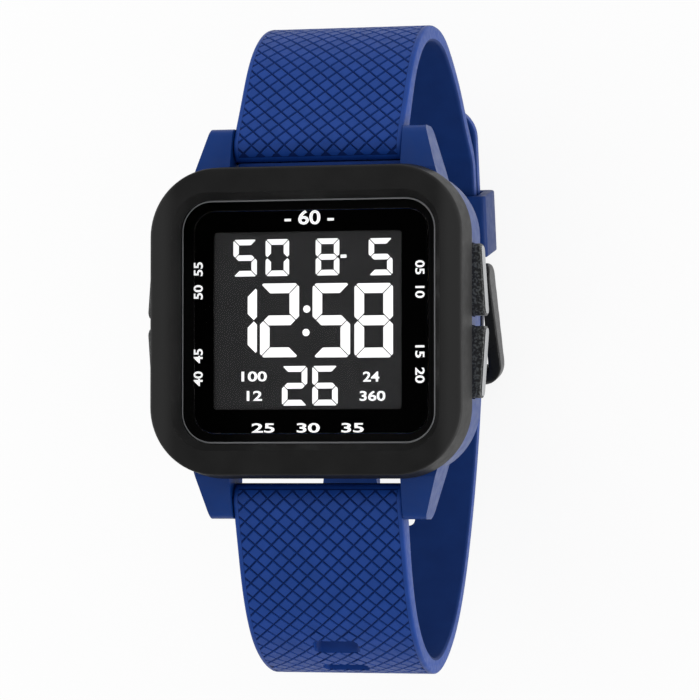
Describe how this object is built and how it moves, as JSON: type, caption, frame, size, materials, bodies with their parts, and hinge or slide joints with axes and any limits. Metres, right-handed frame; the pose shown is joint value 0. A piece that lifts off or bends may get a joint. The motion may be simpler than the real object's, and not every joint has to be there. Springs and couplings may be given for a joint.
{
  "type": "digital watch",
  "caption": "Square digital sports watch on a rubber strap closed in a loop, with side buttons, sprung strap bars, keeper and tongue buckle.",
  "frame": {"origin": "centre of the case back's outer face, the side that lies on the wrist", "axes": "+Z out of the dial, +Y towards the twelve o'clock lugs, +X towards three o'clock"},
  "size_m": [0.044, 0.0849, 0.0612],
  "materials": {
    "case_plastic": "satin",
    "bezel_plastic": "matte",
    "glass": "polished",
    "seal_rubber": "matte",
    "steel": "brushed",
    "dark_steel": "gloss",
    "trim_metal": "brushed",
    "button_plastic": "textured",
    "strap_rubber": "matte",
    "module_plastic": "matte",
    "board_laminate": "satin",
    "chip_resin": "matte",
    "contact_brass": "satin",
    "display_black": "satin",
    "mask_black": "gloss",
    "backlight": "matte",
    "connector_rubber": "matte"
  },
  "bodies": {
    "case": {"case_body": "case_plastic", "bezel": "bezel_plastic", "crystal": "glass", "crystal_gasket": "seal_rubber", "case_back": "steel", "case_back_gasket": "seal_rubber", "case_back_screws": "steel", "battery": "steel", "battery_holder": "module_plastic", "battery_clip": "contact_brass", "circuit_board": "board_laminate", "controller_chip": "chip_resin", "quartz_resonator": "steel", "switch_contacts": "contact_brass", "display_frame": "module_plastic", "backlight_panel": "backlight", "connector_strips": "connector_rubber", "lcd_panel": "display_black", "dial_mask": "mask_black", "piezo_disc": "contact_brass", "buzzer_spring": "steel", "button_seals": "seal_rubber", "upper_spring_bar": "steel", "lower_spring_bar": "steel", "start_button_spring": "steel", "reset_button_spring": "steel", "light_button_spring": "steel", "mode_button_spring": "steel", "upper_right_bar_spring": "steel", "upper_left_bar_spring": "steel", "lower_right_bar_spring": "steel", "lower_left_bar_spring": "steel"},
    "upper_strap": {"upper_strap": "strap_rubber"},
    "lower_strap": {"lower_strap": "strap_rubber"},
    "keeper": {"strap_keeper": "strap_rubber"},
    "buckle": {"buckle_frame": "dark_steel", "buckle_pin": "steel"},
    "tongue": {"buckle_tongue": "dark_steel"},
    "start_button": {"start_button_cap": "button_plastic", "start_button_trim": "trim_metal", "start_button_stem": "steel", "start_button_clip": "steel"},
    "reset_button": {"reset_button_cap": "button_plastic", "reset_button_trim": "trim_metal", "reset_button_stem": "steel", "reset_button_clip": "steel"},
    "light_button": {"light_button_cap": "button_plastic", "light_button_trim": "trim_metal", "light_button_stem": "steel", "light_button_clip": "steel"},
    "mode_button": {"mode_button_cap": "button_plastic", "mode_button_trim": "trim_metal", "mode_button_stem": "steel", "mode_button_clip": "steel"},
    "upper_right_bar_tip": {"upper_right_bar_tip": "steel"},
    "upper_left_bar_tip": {"upper_left_bar_tip": "steel"},
    "lower_right_bar_tip": {"lower_right_bar_tip": "steel"},
    "lower_left_bar_tip": {"lower_left_bar_tip": "steel"}
  },
  "joints": [
    {"name": "start_button_press", "type": "slide", "parent": "case", "child": "start_button", "axis": [-1, 0, 0], "range_m": [0, 0.0008], "stiffness_N_per_m": 900, "springref_m": -0.0005, "deforming": ["start_button_spring"]},
    {"name": "reset_button_press", "type": "slide", "parent": "case", "child": "reset_button", "axis": [-1, 0, 0], "range_m": [0, 0.0008], "stiffness_N_per_m": 900, "springref_m": -0.0005, "deforming": ["reset_button_spring"]},
    {"name": "light_button_press", "type": "slide", "parent": "case", "child": "light_button", "axis": [1, 0, 0], "range_m": [0, 0.0008], "stiffness_N_per_m": 900, "springref_m": -0.0005, "deforming": ["light_button_spring"]},
    {"name": "mode_button_press", "type": "slide", "parent": "case", "child": "mode_button", "axis": [1, 0, 0], "range_m": [0, 0.0008], "stiffness_N_per_m": 900, "springref_m": -0.0005, "deforming": ["mode_button_spring"]},
    {"name": "upper_right_bar_tip_retract", "type": "slide", "parent": "case", "child": "upper_right_bar_tip", "axis": [-1, 0, 0], "range_m": [0, 0.0012], "stiffness_N_per_m": 700, "springref_m": -0.0008, "deforming": ["upper_right_bar_spring"]},
    {"name": "upper_left_bar_tip_retract", "type": "slide", "parent": "case", "child": "upper_left_bar_tip", "axis": [1, 0, 0], "range_m": [0, 0.0012], "stiffness_N_per_m": 700, "springref_m": -0.0008, "deforming": ["upper_left_bar_spring"]},
    {"name": "lower_right_bar_tip_retract", "type": "slide", "parent": "case", "child": "lower_right_bar_tip", "axis": [-1, 0, 0], "range_m": [0, 0.0012], "stiffness_N_per_m": 700, "springref_m": -0.0008, "deforming": ["lower_right_bar_spring"]},
    {"name": "lower_left_bar_tip_retract", "type": "slide", "parent": "case", "child": "lower_left_bar_tip", "axis": [1, 0, 0], "range_m": [0, 0.0012], "stiffness_N_per_m": 700, "springref_m": -0.0008, "deforming": ["lower_left_bar_spring"]},
    {"name": "upper_strap_pivot", "type": "hinge", "parent": "case", "child": "upper_strap", "pos_m": [0, 0.0225, 0.0032], "axis": [1, 0, 0], "range_deg": [-0.2, 0.2]},
    {"name": "lower_strap_pivot", "type": "hinge", "parent": "case", "child": "lower_strap", "pos_m": [0, -0.0225, 0.0032], "axis": [1, 0, 0], "range_deg": [-0.2, 0.2]},
    {"name": "keeper_slide", "type": "slide", "parent": "upper_strap", "child": "keeper", "axis": [0, 0.9781, 0.2079], "range_m": [0, 0.0028]},
    {"name": "buckle_lift", "type": "hinge", "parent": "upper_strap", "child": "buckle", "pos_m": [0, 0.008, -0.0426], "axis": [1, 0, 0], "range_deg": [0, 5]},
    {"name": "tongue_lift", "type": "hinge", "parent": "buckle", "child": "tongue", "pos_m": [0, 0.008, -0.0426], "axis": [1, 0, 0], "range_deg": [0, 4]}
  ]
}
